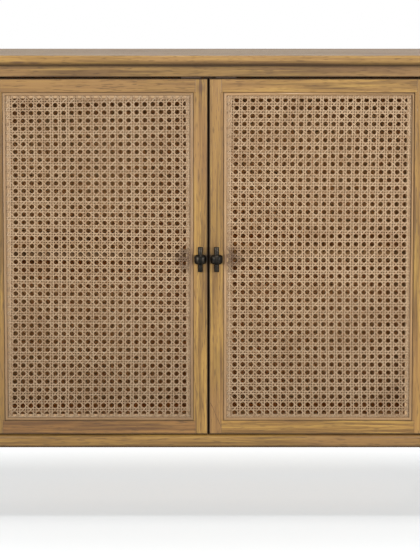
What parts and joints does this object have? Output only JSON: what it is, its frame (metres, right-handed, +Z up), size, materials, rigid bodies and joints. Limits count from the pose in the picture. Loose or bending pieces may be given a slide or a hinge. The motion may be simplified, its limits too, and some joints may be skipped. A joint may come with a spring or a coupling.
{
  "type": "record cabinet",
  "caption": "Oak record cabinet with inset woven-cane doors, dark upright bar knobs, shelved bays inside and splayed tapered legs.",
  "frame": {"origin": "on the floor, in the middle of the outline seen from above", "axes": "+X to the right as seen from the front, the doors face -Y, +Z up"},
  "size_m": [0.98, 0.4724, 0.9175],
  "materials": {
    "oak": "open-grained, stained honey brown, dark glaze in the corners, satin",
    "plywood": "oak-faced plywood, thin matt lacquer",
    "cane": "split natural cane, woven, slightly glossy skin",
    "dark_iron": "blackened, satin",
    "bronzed_steel": "dark bronze, satin",
    "bright_steel": "zinc-plated",
    "catch_plastic": "moulded brown",
    "magnet": "sintered, matt",
    "glide_plastic": "moulded black"
  },
  "bodies": {
    "carcase": {"top_board": "oak", "left_post_hinge_leaves": "bronzed_steel", "right_post_hinge_leaves": "bronzed_steel", "hinge_pins": "bronzed_steel", "left_front_post": "oak", "right_front_post": "oak", "left_back_post": "oak", "right_back_post": "oak", "catch_housings": "catch_plastic", "catch_magnets": "magnet", "front_top_rail": "oak", "front_bottom_rail": "oak", "back_top_rail": "oak", "back_bottom_rail": "oak", "left_side_top_rail": "oak", "right_side_top_rail": "oak", "left_side_bottom_rail": "oak", "right_side_bottom_rail": "oak", "left_side_panel": "oak", "right_side_panel": "oak", "bottom_board": "plywood", "back_panel": "plywood", "centre_partition": "oak", "left_shelf": "oak", "right_shelf": "oak", "shelf_pins": "bright_steel", "left_front_leg": "oak", "right_front_leg": "oak", "left_back_leg": "oak", "right_back_leg": "oak", "leg_bolts": "bright_steel", "foot_glides": "glide_plastic", "case_screws": "bronzed_steel"},
    "left_door": {"left_door_bottom_rail": "oak", "left_door_top_rail": "oak", "left_door_meeting_stile": "oak", "left_door_hinge_stile": "oak", "left_door_hinge_leaves": "bronzed_steel", "left_strike_plate": "bright_steel", "left_door_screws": "bronzed_steel", "left_door_beads": "oak", "left_cane_panel": "cane", "left_knob_bar": "dark_iron", "left_knob_stem": "dark_iron", "left_knob_screw": "bright_steel"},
    "right_door": {"right_door_bottom_rail": "oak", "right_door_top_rail": "oak", "right_door_meeting_stile": "oak", "right_door_hinge_stile": "oak", "right_door_hinge_leaves": "bronzed_steel", "right_strike_plate": "bright_steel", "right_door_screws": "bronzed_steel", "right_door_beads": "oak", "right_cane_panel": "cane", "right_knob_bar": "dark_iron", "right_knob_stem": "dark_iron", "right_knob_screw": "bright_steel"}
  },
  "joints": [
    {"name": "left_door_hinge", "type": "hinge", "parent": "carcase", "child": "left_door", "pos_m": [-0.43285, -0.20705, 0.52], "axis": [0, 0, -1], "range_deg": [0, 170]},
    {"name": "right_door_hinge", "type": "hinge", "parent": "carcase", "child": "right_door", "pos_m": [0.43285, -0.20705, 0.52], "axis": [0, 0, 1], "range_deg": [0, 170]}
  ]
}
